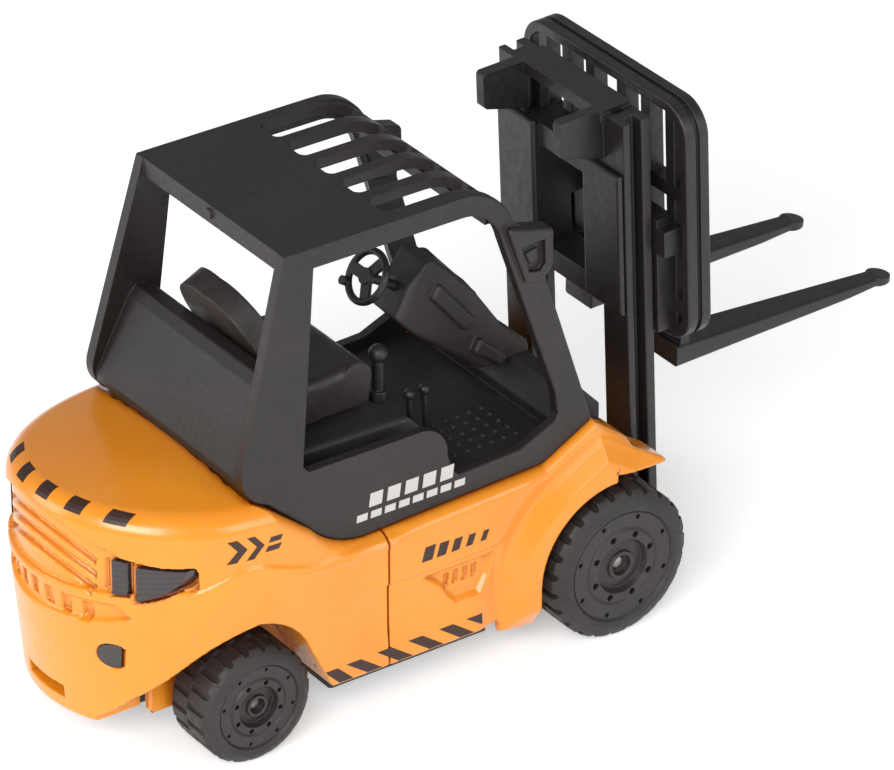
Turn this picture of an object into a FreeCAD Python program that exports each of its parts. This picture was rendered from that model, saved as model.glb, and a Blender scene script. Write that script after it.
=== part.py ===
import FreeCAD, Part
import math
import os

# Toy forklift, about 1:20. Millimetres. X runs forward to the fork tips, Y to the left, Z up from the
# ground.
# Everything is designed with x = 0 at the front axle and z = 0 at a datum just above the ground;
# save() moves it so that the origin is on the ground below the plan centre.

V = FreeCAD.Vector
os.makedirs("parts", exist_ok=True)

# ---------------------------------------------------------------- driving dimensions
WHEELBASE = 85.0
FRONT_AXLE_Z = 14.8       # axle heights; the tyres stand on z = GROUND_Z
REAR_AXLE_Z = 11.0
GROUND_Z = -1.6
FRONT_FACE_Y = 35.0       # outer face of the front wheels
REAR_FACE_Y = 31.4        # outer face of the rear wheels
TYRE_PROUD = 0.3          # tyre sidewall beyond the face of the disc
FRONT_WIDTH = 13.4        # wheel widths
REAR_WIDTH = 12.9
FRONT_DISC = 1.0          # size of the wheel disc's details, front and rear
REAR_DISC = 0.745
AXLE_R = 1.5
RUN_CLEARANCE = 0.06      # radial clearance of an axle or pin in its bearing

REAR_END_X = -117.0       # rear of the counterweight
FORK_TIP_X = 82.4
PLAN_SHIFT = -(REAR_END_X + FORK_TIP_X) / 2.0

BODY_HALF = 31.6          # half width of the painted body
REAR_ROUND = 38.0         # length of the elliptical rear end in plan
REAR_TUCK = 3.6           # how far the rear end is drawn in at ground level
LEDGE_Z = 36.0            # height of the ledge where the tuck begins
SEAM_X = -54.2            # joint between the two painted castings
SEAM_GAP = 0.25
HOOD_Z = 57.2             # top of the rear hood on the centre line
SKIRT_Z = 9.3             # lower edge of the side skirt
BUMPER_Z = 7.6            # lower edge of the rear bumper
WALL = 2.2

CAB_HALF = 28.9           # outer half width of the cab moulding at the sill
ROOF_HALF = 25.8
ROOF_Z = 104.5
ROOF_REAR_X = -73.9
SILL_Z = 39.1
CAB_WALL = 2.4

MAST_LEAN = 2.39          # degrees, backwards
PIVOT_X = 9.5
PIVOT_Z = 13.0
PIVOT_R = 1.5
MAST_REAR_X = 12.65       # upright mast, before it leans
MAST_DEPTH = 6.5
MAST_TOP_Z = 106.3
MAST_FOOT_Z = 8.6
UPRIGHT_IN = 12.8         # inner and outer faces of an upright
UPRIGHT_OUT = 21.1

FRAME_X = (23.1, 28.8)    # load backrest, front to back
FRAME_HALF = 27.4
FRAME_Z = (53.7, 107.3)
FORK_Y = 14.5
FORK_Z = 45.0

PLATE_LOW = 6.9           # base plate, bottom and top
PLATE_TOP = 9.1
BOSS_X = (-103.0, -62.0, -46.0, -28.0)
BOSS_Y = 8.8
SCREW_R = 1.2

LAMP_Y = 17.5             # round bumper lamps
LAMP_Z = 24.5
SEAT_LEAN = 26.2          # degrees, backwards
LEVER_FOOT = (-41.6, -9.5, 55.0)
WHEEL_CENTRE = V(-37.6, 0, 77.2)
WHEEL_NORMAL = V(-0.848, 0, 0.530)
SHAFT_R = 1.0             # steering shaft


# ---------------------------------------------------------------- helpers
def box(x, y, z):
    """Box from three (low, high) pairs."""
    return Part.makeBox(x[1] - x[0], y[1] - y[0], z[1] - z[0], V(x[0], y[0], z[0]))


def place(plane, p, level=0.0):
    """A 2-D point put on the xz, yz or xy plane at the given level."""
    if plane == "xz":
        return V(p[0], level, p[1])
    if plane == "yz":
        return V(level, p[0], p[1])
    return V(p[0], p[1], level)


def face(plane, start, steps, level=0.0):
    """Closed outline: a step is a point for a line, or (through, end) for an arc."""
    edges = []
    here = place(plane, start, level)
    for step in list(steps) + [start]:
        if isinstance(step[0], tuple):
            through, end = (place(plane, q, level) for q in step)
            edges.append(Part.Arc(here, through, end).toShape())
        else:
            end = place(plane, step, level)
            if (end - here).Length < 1e-6:
                continue
            edges.append(Part.LineSegment(here, end).toShape())
        here = end
    return Part.Face(Part.Wire(edges))


def prism(plane, start, steps, low, high):
    """An outline extruded square to its plane from low to high."""
    along = {"xz": V(0, 1, 0), "yz": V(1, 0, 0), "xy": V(0, 0, 1)}[plane]
    return face(plane, start, steps, low).extrude(along * (high - low))


def rod(centre, axis, radius, low, high):
    """Cylinder about an axis through centre, from low to high along it."""
    axis = V(*axis).normalize()
    return Part.makeCylinder(radius, high - low, V(*centre) + axis * low, axis)


def both_sides(shape):
    """The shape and its mirror image across the middle plane."""
    return shape.fuse(shape.mirror(V(0, 0, 0), V(0, 1, 0)))


def mirrored(shape):
    return shape.mirror(V(0, 0, 0), V(0, 1, 0))


def middle(edge):
    """Point halfway along an edge."""
    return edge.valueAt((edge.FirstParameter + edge.LastParameter) / 2)


def rounded(shape, radius, wanted):
    """Fillet the edges that wanted() picks, leaving out any that the kernel can't round."""
    edges = [e for e in shape.Edges if wanted(e)]
    if not edges:
        return shape
    try:
        done = shape.makeFillet(radius, edges)
        if done.isValid() and done.Volume > 0:
            return done
    except Exception:
        pass
    for edge in edges:
        match = [e for e in shape.Edges if (middle(e) - middle(edge)).Length < 1e-4]
        try:
            done = shape.makeFillet(radius, match[:1])
            if done.isValid() and done.Volume > 0:
                shape = done
        except Exception:
            continue
    return shape


def largest(shape):
    """The biggest solid of a shape, without the crumbs of a cut."""
    return max(shape.Solids, key=lambda solid: solid.Volume)


def runs_along(axis, length):
    """Picks straight edges along an axis that are at least so long."""
    direction = V(*axis)

    def picked(edge):
        if edge.Length < length or len(edge.Vertexes) < 2:
            return False
        run = edge.Vertexes[1].Point - edge.Vertexes[0].Point
        return run.Length > 1e-6 and abs(run.normalize().dot(direction)) > 0.999

    return picked


def lean(shape):
    """Carry a shape of the upright mast to its rest position, leaning back about the mast pivot."""
    return shape.rotated(V(PIVOT_X, 0, PIVOT_Z), V(0, 1, 0), -MAST_LEAN)


def save(name, shape):
    """Write one node, moved to the object's own frame."""
    if shape.ShapeType == "Compound" and len(shape.Solids) == 1:
        shape = shape.Solids[0]
    shape = shape.removeSplitter()
    if not shape.isValid():
        print("NOT VALID", name)
    moved = shape.translated(V(PLAN_SHIFT, 0, -GROUND_Z))
    moved.exportStep("parts/" + name + ".step")
    print(name, len(shape.Solids), round(shape.Volume, 1))


# ---------------------------------------------------------------- painted body
def plan(offset, low, high):
    """The body's outline in plan, drawn in by offset, between two heights; the rear tucks in below the ledge."""
    half = BODY_HALF - offset
    centre = REAR_END_X + REAR_ROUND
    rings = []
    for tuck, z in ((REAR_TUCK, 0.0), (0.0, LEDGE_Z), (0.0, 75.0)):
        rings.append(Part.Wire(Part.Ellipse(V(centre, 0, z), REAR_ROUND - tuck - offset, half).toShape()))
    rear = Part.makeLoft(rings, True, True)
    block = rear.fuse(box((centre, 40), (-half, half), (0.0, 75.0)))
    return block.common(box((-140, 60), (-60, 60), (low, high)))


def deck_cut():
    """The room that the cab takes out of the top of the body."""
    return prism("xz", (-85.3, 70), [
        (-85.3, 56.2), (-83.4, 54.6), (-80.5, 53.0), (-71.0, 45.4), ((-65.0, 40.7), (-58.2, SILL_Z)),
        (-16.0, 40.8),
        (-3.6, 47.2), (14.7, 32.6), (40, 32.6), (40, 70)], -45, 45)


def fender(low, high):
    """Front mudguard band in side view: arch radius 20.2 about the wheel, run out to a forward tip."""
    arch = 20.2
    start = (-22.4, 5.8)
    on_arch = (-arch * math.cos(math.radians(12)), FRONT_AXLE_Z - arch * math.sin(math.radians(12)))
    mid_arch = (-arch * math.cos(math.radians(40)), FRONT_AXLE_Z + arch * math.sin(math.radians(40)))
    return prism("xz", start, [
        on_arch, (mid_arch, (0, FRONT_AXLE_Z + arch)), (14.7, 32.1), (5.3, 39.2), (-3.6, 42.2),
        ((-19.6, 30.4), (-28.4, 11.9)), (-25.4, 6.6)], low, high)


def body_solid():
    """The whole painted body before it is hollowed and split."""
    crown = prism("yz", (-BODY_HALF - 2, 0), [
        (-BODY_HALF - 2, 53.4), ((0, HOOD_Z), (BODY_HALF + 2, 53.4)), (BODY_HALF + 2, 0)], -130, 40)
    shape = plan(0, BUMPER_Z, 70).common(crown)
    shape = rounded(shape, 4.5, lambda e: e.BoundBox.ZMin > 48 and e.BoundBox.XMax < 39)
    side = prism("xz", (REAR_END_X - 5, BUMPER_Z), [
        (REAR_END_X - 5, 70), (5.5, 70), (5.5, 8.6), (-3.0, 8.6), (-3.0, SKIRT_Z), (-67.6, SKIRT_Z),
        (-72.0, BUMPER_Z)], -45, 45)
    shape = shape.common(side).cut(deck_cut())
    flare = fender(22.4, 33.4).cut(box((-60, 40), (0, 60), (-5, 5.7)))
    return shape.fuse(both_sides(flare))


def wheel_wells():
    """Room for the wheels: open outwards, closed towards the middle of the body."""
    front = rod((0, 20.6, FRONT_AXLE_Z), (0, 1, 0), 20.2, 0, 30).cut(box((-1, 40), (0, 60), (33, 60)))
    front = front.fuse(box((-20.2, 30), (20.6, 60), (-5, FRONT_AXLE_Z)))
    front = front.fuse(prism("xz", (0, 10), [(0, FRONT_AXLE_Z + 20.2), (19, 31.2), (40, 31.2), (40,
        10)], 20.6, 60))
    rear = rear_arch((-112.6, 0), -60.0, 17.2).fuse(rear_arch((-112.6, 0), -100.5, 13.4))
    return both_sides(front).fuse(both_sides(rear))


def rear_arch(start, front_end, inner_y):
    """Rear wheel opening in side view, kept to x below front_end, cut from inner_y outwards."""
    arch = prism("xz", start, [
        (-111.6, 7.4), (-106.4, 14.8), (-98.0, 22.8), ((-90.6, 27.6), (-84.0, 29.4)),
        ((-76.6, 25.8), (-72.7, 19.7)), (-67.7, 9.3), (-67.5, 0)], inner_y, 60)
    return arch.common(box((-130, front_end), (0, 60), (-5, 60)))


def behind(start, steps):
    """A rear-view outline turned into a cutter that reaches through the rear of the body."""
    return prism("yz", start, steps, -135, -92)


def skin(outer, inner):
    """The layer of the body between two offsets of its plan outline."""
    return plan(outer, 5, 70).cut(plan(inner, 5, 70))


def body_details(shape):
    """Recessed band, curved louvres, lamp pockets, ribbed lower recess and towing slot."""
    shallow = skin(-1, 0.8)
    band = behind((-27.4, 44.6), [
        (-20.0, 47.2), ((0, 54.0), (20.0, 47.2)), (27.4, 44.6), (27.4, 39.5), ((0, 38.8), (-27.4, 39.5))])
    low = behind((-19.0, 36.9), [((0, 37.5), (19.0, 36.9)), (21.0, 33.2), ((0, 30.8), (-21.0, 33.2))])
    deep = skin(0, 1.7)
    cutters = [shallow.common(band), shallow.common(low)]
    for level in (51.4, 48.2, 45.0):
        louvre = behind((-15.6, level - 5.6), [
            ((0, level), (15.6, level - 5.6)), (15.6, level - 7.0), ((0, level - 1.4), (-15.6,
            level - 7.0))])
        cutters.append(deep.common(louvre))
    for rib in range(7):
        y = -13.2 + 4.4 * rib
        cutters.append(deep.common(box((-130, -95), (y - 1.1, y + 1.1), (32.4, 36.2))))
    cutters.append(both_sides(skin(-1, 2.0).common(lamp_outline(0.0))))
    cutters.append(both_sides(skin(-1, 1.3).common(bar_outline(0.0))))
    for side in (-1, 1):
        cutters.append(rod((-125, side * LAMP_Y, LAMP_Z), (1, 0, 0), 2.75, 0, 17.4))
    cutters.append(box((-125, -108), (-6.2, 6.2), (10.6, 13.4)))
    return shape.cut(cutters)


def lamp_outline(inset):
    """Rear-view outline of one tail lamp, drawn in by inset."""
    return behind((21.6 + inset, 45.4 - inset), [
        (21.6 + inset, 37.6 + inset), ((25.5 - inset, 39.7 + inset), (27.2 - inset, 44.4 - inset))])


def bar_outline(inset):
    """Rear-view outline of the upright lamp beside each tail lamp, drawn in by inset."""
    return behind((18.3 + inset, 46.8 - inset), [
        (18.3 + inset, 38.9 + inset), (20.4 - inset, 38.9 + inset), (20.4 - inset, 46.2 - inset)])


def body_shells():
    """Two hollow castings, split along the side seam, with screw bosses inside."""
    outer = body_details(body_solid())
    hollow = plan(WALL, 0, 48.0).common(box((-130, 3.2), (-45, 45), (0, 48.0)))
    room = deck_cut().translated(V(0, 0, -WALL - 0.4))
    hollow = hollow.cut(room)
    wells = wheel_wells()
    liner = box((-112, -68.5), (15.4, 40), (0, 31.4)).fuse([
        box((-112, -98.5), (11.6, 40), (0, 27.0)), box((-24.6, 5.5), (18.8, 40), (0, 39.0))])
    shape = outer.cut(hollow.cut(both_sides(liner))).cut(wells)
    shape = shape.cut(box((-72.2, 3.6), (-26.8, 26.8), (40.9, 70)))
    for x, z, inner_y in ((-WHEELBASE, REAR_AXLE_Z, 14.0), (0, FRONT_AXLE_Z, 17.0)):
        shape = shape.cut(both_sides(box((x - 1.9, x + 1.9), (inner_y, inner_y + 5), (0, z + 1.9))))
    shape = shape.cut(both_sides(box((3.0, 6.0), (7.2, 14.8), (0, 17.4))))
    bosses = []
    for x in BOSS_X:
        for y in (-BOSS_Y, BOSS_Y):
            post = rod((x, y, 0), (0, 0, 1), 3.2, PLATE_TOP + 0.02, 38.0)
            bosses.append(post.cut(rod((x, y, 0), (0, 0, 1), SCREW_R + 0.05, 0, 24.0)))
    shape = shape.fuse(bosses)
    rear = shape.common(box((-140, SEAM_X - SEAM_GAP / 2), (-60, 60), (-5, 90)))
    front = shape.common(box((SEAM_X + SEAM_GAP / 2, 60), (-60, 60), (-5, 90)))
    save("rear_body_shell", largest(rear))
    save("front_body_shell", largest(front))


# ---------------------------------------------------------------- chassis
def base_plate():
    """Floor plate with the axle saddles and the two ears that carry the mast pin."""
    plate = box((-98.3, 3.0), (-15.2, 15.2), (PLATE_LOW, PLATE_TOP))
    plate = plate.fuse(box((-106.0, -98.0), (-11.4, 11.4), (PLATE_LOW, PLATE_TOP)))
    plate = plate.fuse(box((-66.6, -28.8), (-28.6, 28.6), (PLATE_LOW, PLATE_TOP)))
    for x, z, half in ((-WHEELBASE, REAR_AXLE_Z, 15.2), (0, FRONT_AXLE_Z, 11.4)):
        block = box((x - 4.6, x + 3.0), (-half, half), (PLATE_LOW, z + 4.0))
        inside = box((x - 9, x + 9), (-half + 4, half - 4), (PLATE_TOP, z + 9))
        plate = plate.fuse(block.cut(inside))
        plate = plate.cut(rod((x, 0, z), (0, 1, 0), AXLE_R + RUN_CLEARANCE, -40, 40))
    ear = prism("xz", (2.0, PLATE_LOW), [
        (2.0, PIVOT_Z + 1.5), (6.6, PIVOT_Z + 2.6), ((PIVOT_X + 2.6, PIVOT_Z), (PIVOT_X, PIVOT_Z - 2.6)),
        (6.0, PLATE_LOW)], 7.6, 10.6)
    plate = plate.fuse(both_sides(ear))
    plate = plate.cut(rod((PIVOT_X, 0, PIVOT_Z), (0, 1, 0), PIVOT_R, -15, 15))
    for x in BOSS_X:
        for y in (-BOSS_Y, BOSS_Y):
            plate = plate.cut(rod((x, y, 0), (0, 0, 1), SCREW_R + 0.1, 0, 20))
            plate = plate.cut(rod((x, y, 0), (0, 0, 1), 2.5, 0, PLATE_LOW + 1.0))
    save("base_plate", rounded(plate, 0.8, runs_along((0, 0, 1), 2.0)))


def base_screws():
    """Eight screws, each from below the plate into a boss."""
    screws = []
    for x in BOSS_X:
        for y in (-BOSS_Y, BOSS_Y):
            screw = rod((x, y, 0), (0, 0, 1), SCREW_R, PLATE_LOW + 0.9, PLATE_LOW + 14.0)
            head = rod((x, y, 0), (0, 0, 1), 2.3, PLATE_LOW - 0.1, PLATE_LOW + 0.99)
            slot = box((x - 1.6, x + 1.6), (y - 0.25, y + 0.25), (PLATE_LOW - 0.5, PLATE_LOW + 0.5))
            cross = box((x - 0.25, x + 0.25), (y - 1.6, y + 1.6), (PLATE_LOW - 0.5, PLATE_LOW + 0.5))
            screws.append(screw.fuse(head).cut(slot).cut(cross))
    save("base_screws", Part.makeCompound(screws))


# ---------------------------------------------------------------- wheels
def spin(points, centre):
    """Turn an outline given as (radius, y) about the wheel's axis."""
    edges = [V(centre[0] + r, y, centre[1]) for r, y in points]
    wire = Part.makePolygon(edges + [edges[0]])
    return Part.Face(wire).revolve(V(centre[0], 0, centre[1]), V(0, 1, 0), 360)


def lug_row(centre, radius, depth, count, phase, low, high):
    """One row of tread blocks with the body of the tyre under it."""
    points = []
    pitch = 2 * math.pi / count
    for i in range(count):
        for share, r in ((-0.30, radius), (0.30, radius), (0.38, radius - depth), (0.62, radius - depth)):
            a = (i + share + phase) * pitch - math.pi / 2
            points.append(V(centre[0] + r * math.cos(a), low, centre[1] + r * math.sin(a)))
    return Part.Face(Part.makePolygon(points + [points[0]])).extrude(V(0, high - low, 0))


def wheel(name, x, height, face_y, width, k, lugs, turn):
    """Tyre and hub of one wheel, on the left side or mirrored to the right; k sizes the disc's details."""
    radius = height - GROUND_Z
    centre = (x, height)
    out = face_y
    inn = face_y - width
    mid = (out + inn) / 2
    proud = out + TYRE_PROUD
    seat_r = 11.9 * k
    sole = radius / math.cos(0.30 * 2 * math.pi / lugs)
    tread = lug_row(centre, sole, 0.9 * k, lugs, 0.0, mid, proud)
    tread = tread.fuse(lug_row(centre, sole, 0.9 * k, lugs, 0.5, inn, mid))
    envelope = spin([
        (seat_r, inn + 0.6), (radius - 1.8 * k, inn), (radius - 0.5 * k, inn + 0.8), (radius + 0.4,
        inn + 1.9),
        (radius + 0.4, out - 1.9), (radius - 0.5 * k, out - 0.9), (radius - 1.6 * k, out - 0.2),
        (radius - 3.0 * k, proud), (12.5 * k, proud), (seat_r, out - 0.3)], centre)
    tyre = tread.common(envelope)
    hub = spin([
        (AXLE_R, inn + 1.2), (5.0 * k, inn + 1.2), (5.0 * k, inn + 2.4), (seat_r, inn + 2.4), (seat_r,
        out - 0.1),
        (8.8 * k, out - 0.1), (8.4 * k, out - 0.4), (7.9 * k, out), (6.1 * k, out), (5.5 * k, out - 1.5),
        (3.2 * k, out - 1.2), (3.0 * k, out - 0.4), (2.3 * k, out - 0.4), (2.1 * k, out - 1.8),
        (AXLE_R, out - 1.8)], centre)
    for i in range(8):
        for reach, size, deep, lag in ((10.95 * k, 0.55 * k, 1.6, 0.0), (7.1 * k, 0.72 * k, 2.2, 0.10)):
            a = turn + i * math.pi / 4 + lag
            spot = (x + reach * math.sin(a), 0, height + reach * math.cos(a))
            hub = hub.cut(rod(spot, (0, 1, 0), size, out - deep, out + 1))
    for side, put in (("left", lambda s: s), ("right", mirrored)):
        save(name + "_tyre_" + side, put(tyre))
        save(name + "_hub_" + side, put(hub))


def axle(name, x, height, face_y):
    """Steel axle with a chamfered end, pressed into both hubs."""
    end = face_y - 1.9
    shaft = rod((x, 0, height), (0, 1, 0), AXLE_R, -end, end)
    save(name, shaft.makeChamfer(0.3, [e for e in shaft.Edges if e.Length < 10 and e.Closed]))


# ---------------------------------------------------------------- cab moulding
def lean_in(shape):
    """Side panels lean inwards from the sill to the roof."""
    angle = math.degrees(math.atan((CAB_HALF - ROOF_HALF) / (ROOF_Z - SILL_Z)))
    return shape.rotated(V(0, CAB_HALF, SILL_Z), V(1, 0, 0), angle)


def side_panel():
    """Left side of the cab: sill, pillars and roof rail round one window."""
    outer = prism("xz", (ROOF_REAR_X, ROOF_Z + 0.4), [
        (-85.4, 62.6), ((-84.9, 57.6), (-81.0, 54.0)), (-71.4, 45.6), ((-65.4, 40.9), (-58.2,
        SILL_Z + 0.1)),
        (-16.0, 40.9), (-4.2, 46.9), (-3.7, 48.6), (-13.6, 81.6), (-13.6, 90.0), (-21.0, 96.0),
        ((-25.0, 102.0), (-33.0, ROOF_Z + 0.4))], CAB_HALF - CAB_WALL, CAB_HALF)
    window = prism("xz", (-67.2, 100.4), [
        (-71.4, 58.6), (-70.4, 57.5), (-44.4, 57.5), ((-40.0, 55.8), (-38.2, 52.0)), (-36.9, 46.4),
        (-35.6, 45.3),
        (-20.4, 45.9), (-12.4, 49.4), (-11.6, 51.0), (-12.0, 55.5), (-24.0, 93.0), ((-27.0, 98.2),
        (-33.0, 100.4))],
        CAB_HALF - 8, CAB_HALF + 4)
    panel = rounded(outer.cut(window), 0.6, lambda e: e.Length > 2 and e.BoundBox.YMin > CAB_HALF - 0.1)
    return lean_in(panel)


def roof():
    """Roof skin: solid behind, five slots in front, the bars bent down to the header."""
    skin = prism("xz", (ROOF_REAR_X, ROOF_Z), [
        (-34.0, ROOF_Z), ((-26.6, 102.3), (-21.4, 96.2)), (-23.2, 95.0), ((-28.2, 100.6), (-34.6,
        ROOF_Z - 2.2)),
        (ROOF_REAR_X, ROOF_Z - 2.2)], -ROOF_HALF, ROOF_HALF)
    for i in range(5):
        y = (i - 2) * 9.3
        slot = box((-48.4, -24.6), (y - 3.25, y + 3.25), (90, 110))
        skin = skin.cut(rounded(slot, 1.6, runs_along((0, 0, 1), 10)))
    rear_rim = box((ROOF_REAR_X, ROOF_REAR_X + 2.6), (-ROOF_HALF, ROOF_HALF), (100.5, ROOF_Z))
    bump = rod((ROOF_REAR_X, 0, 102.6), (1, 0, 0), 1.1, -0.5, 1.0)
    header = box((-24.6, -21.6), (-21.5, 21.5), (94.2, 96.6))
    return skin.fuse([rear_rim, bump, header])


def lamp_box():
    """Work-lamp housing on the left front pillar, with its recessed lens."""
    shell = prism("xz", (-23.6, 95.6), [
        (-13.0, 92.8), (-12.6, 92.0), (-12.6, 84.8), (-13.2, 83.6), (-15.5, 81.8), (-19.2, 82.4)],
        23.8, 28.0)
    recess = prism("xz", (-20.6, 91.0), [(-14.8, 91.0), (-14.6, 85.6), (-15.8, 84.2), (-18.6, 84.7)],
        26.4, 30)
    lens = prism("xz", (-19.0, 88.6), [(-16.2, 89.2), (-16.0, 86.6), (-17.8, 86.0)], 26.2, 27.2)
    return rounded(shell, 0.7, lambda e: e.Length > 3).cut(recess).fuse(lens)


def rear_wall():
    """Sloping panel behind the seat, from the hood to the lower edge of the rear opening."""
    wall = prism("xz", (-84.8, 56.6), [
        (-84.9, 59.0), (-77.4, 74.4), (-75.6, 76.4), (-72.2, 76.4), (-72.2, 74.8), (-74.4, 74.0),
        (-82.4, 57.2)],
        -26.9, 26.9)
    return rounded(wall, 0.8, lambda e: e.Length > 40)


def cab_frame():
    """One moulding: both side panels, the roof, the lamp housings and the rear wall."""
    shape = both_sides(side_panel()).fuse([roof(), rear_wall(), both_sides(lamp_box())])
    trim = box((-100, 20), (-ROOF_HALF - 0.5, ROOF_HALF + 0.5), (ROOF_Z, 120))
    save("cab_frame", shape.cut(trim))


def interior_tub():
    """Floor, seat box, front cowl and door sills in one moulding inside the cab."""
    half = CAB_HALF - CAB_WALL - 0.15
    floor = box((-70.0, -8.0), (-half, half), (41.4, 43.2))
    seat_box = prism("xz", (-71.0, 43.2), [(-71.0, 56.2), (-41.0, 55.4), (-38.4, 52.6), (-37.6,
        43.2)], -19.0, 19.0)
    seat_box = rounded(seat_box, 1.2, lambda e: e.Length > 8 and e.BoundBox.ZMin > 50)
    cowl = prism("xz", (-8.0, 41.4), [(-9.4, 46.0), (-5.6, 50.6), (-1.6, 50.6), (3.4, 45.2), (3.4,
        41.4)], -21.6, 21.6)
    tread = [rod((-33.0 + 3.0 * i, -19.0 + 3.0 * j, 43.1), (0, 0, 1), 0.6, 0, 0.5)
             for i in range(7) for j in range(5)]
    shape = floor.fuse([seat_box, rounded(cowl, 0.8, lambda e: e.Length > 30)] + tread)
    save("interior_tub", shape.cut(rod(LEVER_FOOT, (0, 0, 1), 1.0, -3.0, 1.5)))


def seat():
    """Moulded seat: bolstered back leaning rearwards and cushion, one hard piece."""
    back = prism("yz", (-12.0, -8.0), [
        (-12.6, 14.0), ((-9.6, 23.2), (0, 26.0)), ((9.6, 23.2), (12.6, 14.0)), (12.0, -8.0)], 0, 5.0)
    back = rounded(back, 1.8, lambda e: e.BoundBox.ZMin > -7.9)
    back = back.rotated(V(0, 0, 0), V(0, 1, 0), -SEAT_LEAN).translated(V(-64.6, 0, 62.1))
    cushion = prism("xz", (-67.0, 56.8), [
        (-65.4, 66.4), ((-56.0, 65.4), (-49.0, 66.2)), ((-45.6, 65.4), (-44.6, 62.6)), (-45.4, 56.8)],
        -11.6, 11.6)
    cushion = rounded(cushion, 2.0, lambda e: e.BoundBox.ZMin > 60 and e.BoundBox.YLength < 0.1)
    save("seat", back.fuse(cushion).cut(box((-90, 0), (-20, 20), (50, 56.8))))


# ---------------------------------------------------------------- driver's controls
def steering_column():
    """Thick dash column rising from the cowl towards the driver, with a rolled top."""
    column = prism("xz", (-33.8, 68.4), [
        (-30.4, 74.4), (-26.4, 78.6), (-24.4, 79.0), (-17.0, 71.6), (-9.1, 60.0), (-1.8, 53.2), (-1.8,
        50.8),
        (-9.6, 50.8), (-13.2, 50.2), (-27.1, 61.0)], -4.5, 4.5)
    column = rounded(column, 1.4,
        lambda e: e.Length > 5 and e.BoundBox.YLength < 0.1 and e.BoundBox.ZMax > 56)
    barrel = rod((-25.7, 0, 76.7), (0.655, 0, -0.756), 3.3, 0, 17.0)
    ridge = prism("xz", (-24.0, 73.6), [(-15.2, 63.0), (-17.8, 60.8), (-26.0, 70.8)], -5.6, 5.6)
    foot = prism("xz", (-14.6, 58.6), [(-8.2, 52.6), (-9.6, 50.8), (-16.2, 55.6)], -6.4, 6.4)
    shape = column.fuse([barrel, rounded(ridge, 0.6, lambda e: e.Length > 3),
                         rounded(foot, 0.6, lambda e: e.Length > 3)])
    axis = WHEEL_NORMAL
    bore = Part.makeCylinder(SHAFT_R + RUN_CLEARANCE, 14, WHEEL_CENTRE - axis * 13.0, axis)
    save("steering_column", shape.cut(bore))


def steering_wheel():
    """Rim, three spokes, hub, spinner knob and the shaft that turns in the column."""
    rim = Part.makeTorus(5.2, 0.75)
    hub = Part.makeCylinder(1.7, 1.6, V(0, 0, -0.8))
    shape = rim.fuse(hub)
    for k in range(3):
        spoke = box((0.8, 5.2), (-1.15, 1.15), (-0.45, 0.45))
        spoke.rotate(V(0, 0, 0), V(0, 0, 1), 90 + 120 * k)
        shape = shape.fuse(spoke)
    knob = Part.makeCylinder(0.95, 1.7, V(5.2 * math.cos(2.2), 5.2 * math.sin(2.2), 0.2))
    shaft = Part.makeCylinder(SHAFT_R, 12.6, V(0, 0, -12.4))
    shape = shape.fuse([knob, shaft])
    turn = FreeCAD.Rotation(V(0, 0, 1), WHEEL_NORMAL)
    shape.Placement = FreeCAD.Placement(WHEEL_CENTRE, turn)
    save("steering_wheel", shape)


def levers():
    """Ball-ended direction lever beside the seat, and the small hydraulic levers on the column."""
    x, y, z = LEVER_FOOT
    lever = rod((x, y, z), (0, 0, 1), 0.95, -2.6, 0.7)
    lever = lever.fuse([rod((x, y, z), (0, 0, 1), 2.0, 0.55, 2.6), rod((x, y, z), (0, 0, 1), 1.25,
        2.6, 9.0),
                        Part.makeSphere(1.95, V(x, y, z + 10.6))])
    save("drive_lever", lever)
    valves = []
    for k in range(2):
        top = V(-36.2 + 3.6 * k, -12.4, 55.9)
        base = V(top.x + 0.6, top.y, 43.3)
        stem = Part.makeCylinder(0.7, (top - base).Length, base, (top - base))
        valves.append(stem.fuse(Part.makeSphere(1.15, top)))
    save("valve_levers", Part.makeCompound(valves))


# ---------------------------------------------------------------- lamps on the body
def body_lamps():
    """Dark inserts behind the painted castings' lamp pockets."""
    lens = plan(0.25, 5, 70).cut(plan(1.9, 5, 70)).common(lamp_outline(0.15))
    bar = plan(0.3, 5, 70).cut(plan(1.2, 5, 70)).common(bar_outline(0.1))
    lamp = Part.makeCompound([largest(lens), largest(bar)])
    save("tail_lamp_left", lamp)
    save("tail_lamp_right", mirrored(lamp))
    for name, side in (("left", 1), ("right", -1)):
        lamp = rod((-111.4, side * LAMP_Y, LAMP_Z), (1, 0, 0), 2.6, 0, 3.2)
        save("bumper_lamp_" + name, lamp.common(plan(0.2, 5, 70)))


# ---------------------------------------------------------------- mast and lift
def upright():
    """One I-section upright on the left side: two flanges and a web set in from both."""
    rear = MAST_REAR_X
    front = MAST_REAR_X + MAST_DEPTH
    span = (MAST_FOOT_Z, MAST_TOP_Z - 1.0)
    shape = box((rear, rear + 1.7), (UPRIGHT_IN, UPRIGHT_OUT), span)
    shape = shape.fuse(box((front - 2.2, front), (UPRIGHT_IN, UPRIGHT_OUT), span))
    shape = shape.fuse(box((rear, front), (UPRIGHT_IN + 3.0, UPRIGHT_OUT - 3.0), span))
    return rounded(shape, 0.35, runs_along((0, 0, 1), 50))


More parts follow.
